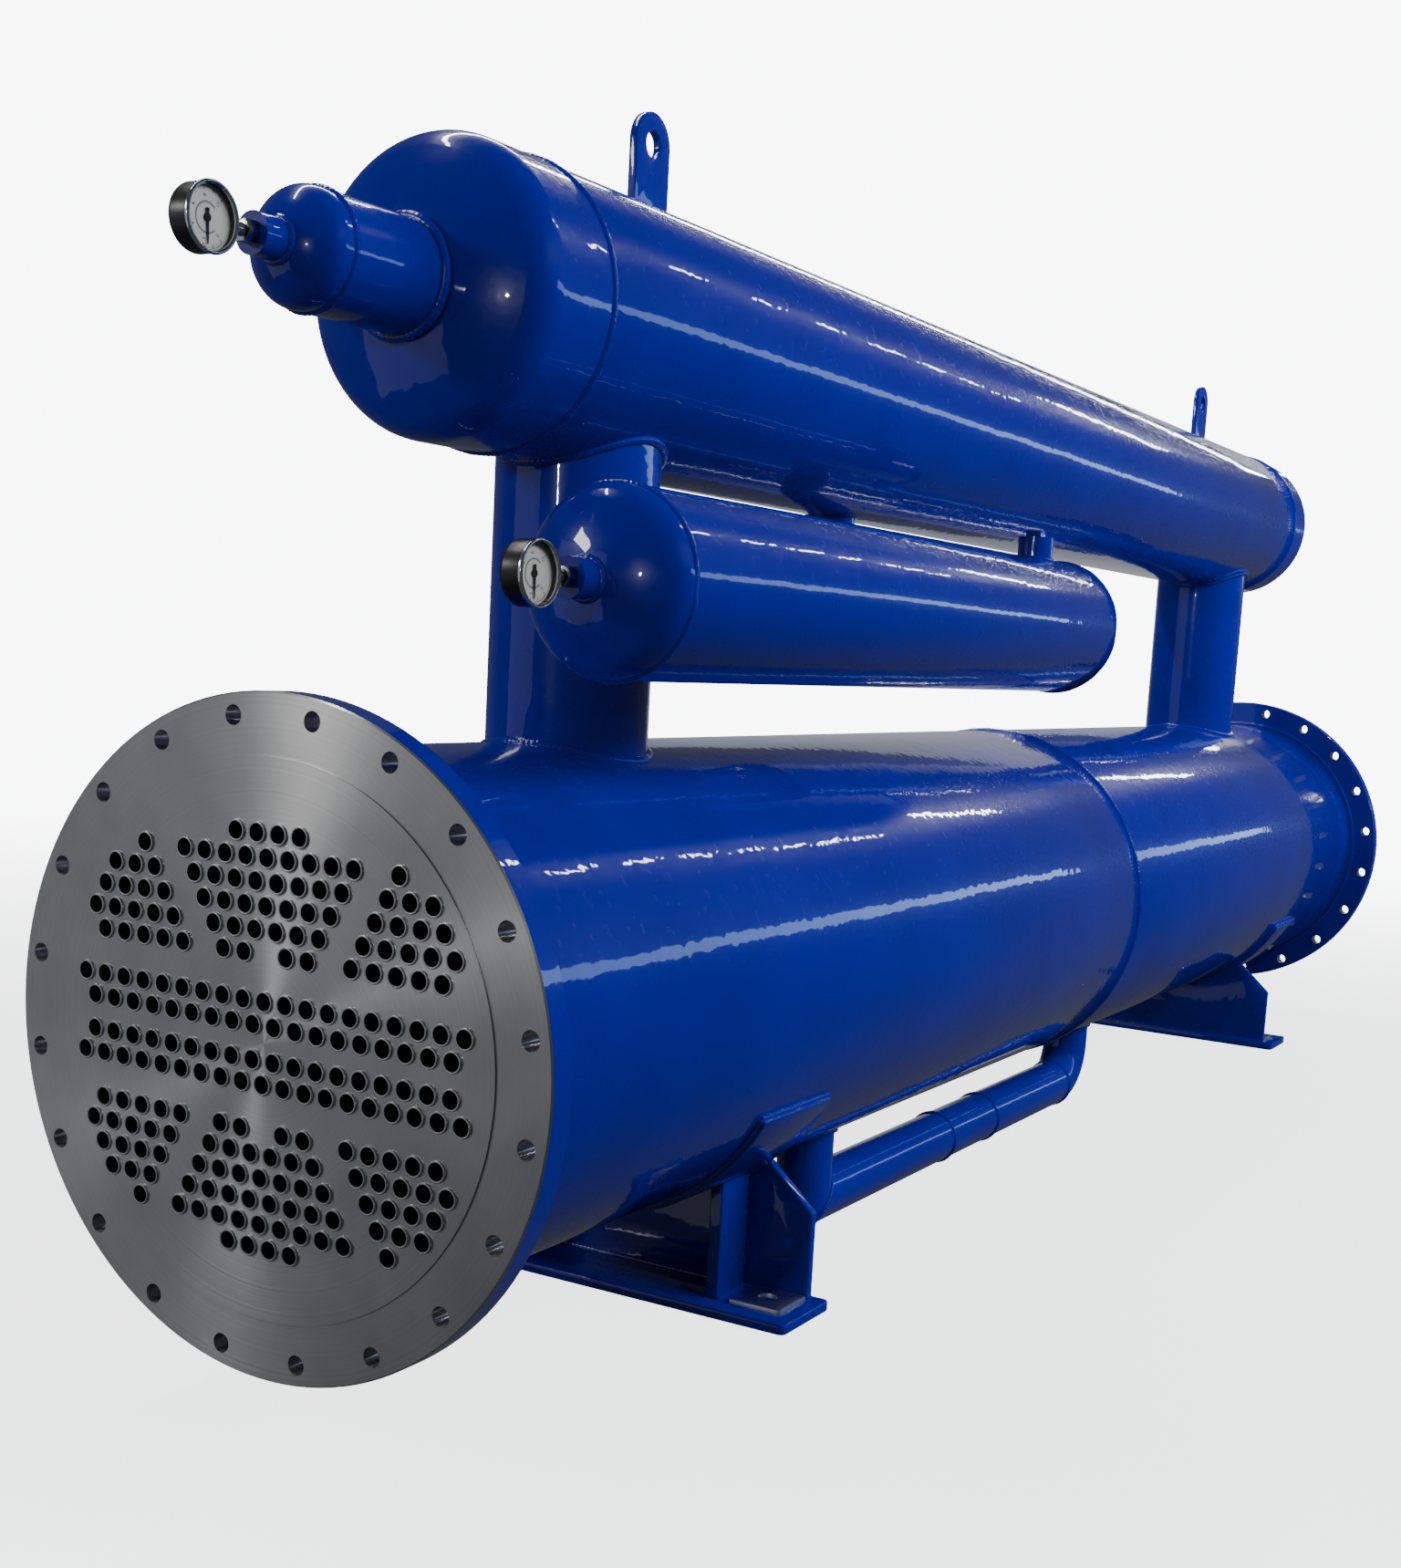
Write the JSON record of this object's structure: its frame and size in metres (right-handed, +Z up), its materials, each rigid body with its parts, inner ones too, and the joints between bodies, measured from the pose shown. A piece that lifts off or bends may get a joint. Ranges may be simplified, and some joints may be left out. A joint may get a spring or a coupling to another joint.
{
  "type": "shell and tube heat exchanger",
  "caption": "Horizontal shell and tube heat exchanger on saddles, with bare tube sheets, a surge drum on risers above and a smaller side drum with dial gauges.",
  "frame": {"origin": "on the floor, at the centre of the four foundation bolt holes", "axes": "+X along the shell from the front tube sheet to the rear one, +Z up, -Y the side that the dials and the side drum face"},
  "size_m": [3.178, 0.6092, 1.2665],
  "materials": {
    "blue_paint": "gloss enamel",
    "turned_steel": "lathe-turned face, painted rim",
    "tube_steel": "drawn tube, cut ends",
    "bright_steel": "polished",
    "black_case": "satin black",
    "gauge_glass": "clear",
    "white_dial": "matt white",
    "black_pointer": "matt black"
  },
  "bodies": {
    "root": {"shell_front_course": "blue_paint", "shell_rear_course": "blue_paint", "surge_drum_pipe": "blue_paint", "surge_drum_front_cap": "blue_paint", "surge_drum_rear_cap": "blue_paint", "gauge_pot_pipe": "blue_paint", "gauge_pot_cap": "blue_paint", "front_riser": "blue_paint", "rear_riser": "blue_paint", "side_drum_pipe": "blue_paint", "side_drum_front_cap": "blue_paint", "side_drum_rear_cap": "blue_paint", "side_drum_boss": "blue_paint", "side_drum_plug": "blue_paint", "front_link": "blue_paint", "rear_link": "blue_paint", "upper_gauge_boss": "blue_paint", "lower_gauge_boss": "blue_paint", "lifting_lugs": "blue_paint", "loop_front_leg": "blue_paint", "loop_run": "blue_paint", "loop_rear_leg": "blue_paint", "front_saddle_base": "blue_paint", "front_saddle_web": "blue_paint", "front_saddle_wrapper": "blue_paint", "front_saddle_ribs": "blue_paint", "rear_saddle_base": "blue_paint", "rear_saddle_web": "blue_paint", "rear_saddle_wrapper": "blue_paint", "rear_saddle_ribs": "blue_paint", "front_tube_sheet": "turned_steel", "rear_tube_sheet": "turned_steel", "tube_bundle": "tube_steel", "upper_gauge_stem": "bright_steel", "upper_gauge_case": "black_case", "upper_gauge_bezel": "bright_steel", "upper_gauge_window": "gauge_glass", "upper_gauge_dial": "white_dial", "upper_gauge_pointer": "black_pointer", "lower_gauge_stem": "bright_steel", "lower_gauge_case": "black_case", "lower_gauge_bezel": "bright_steel", "lower_gauge_window": "gauge_glass", "lower_gauge_dial": "white_dial", "lower_gauge_pointer": "black_pointer"}
  },
  "joints": []
}
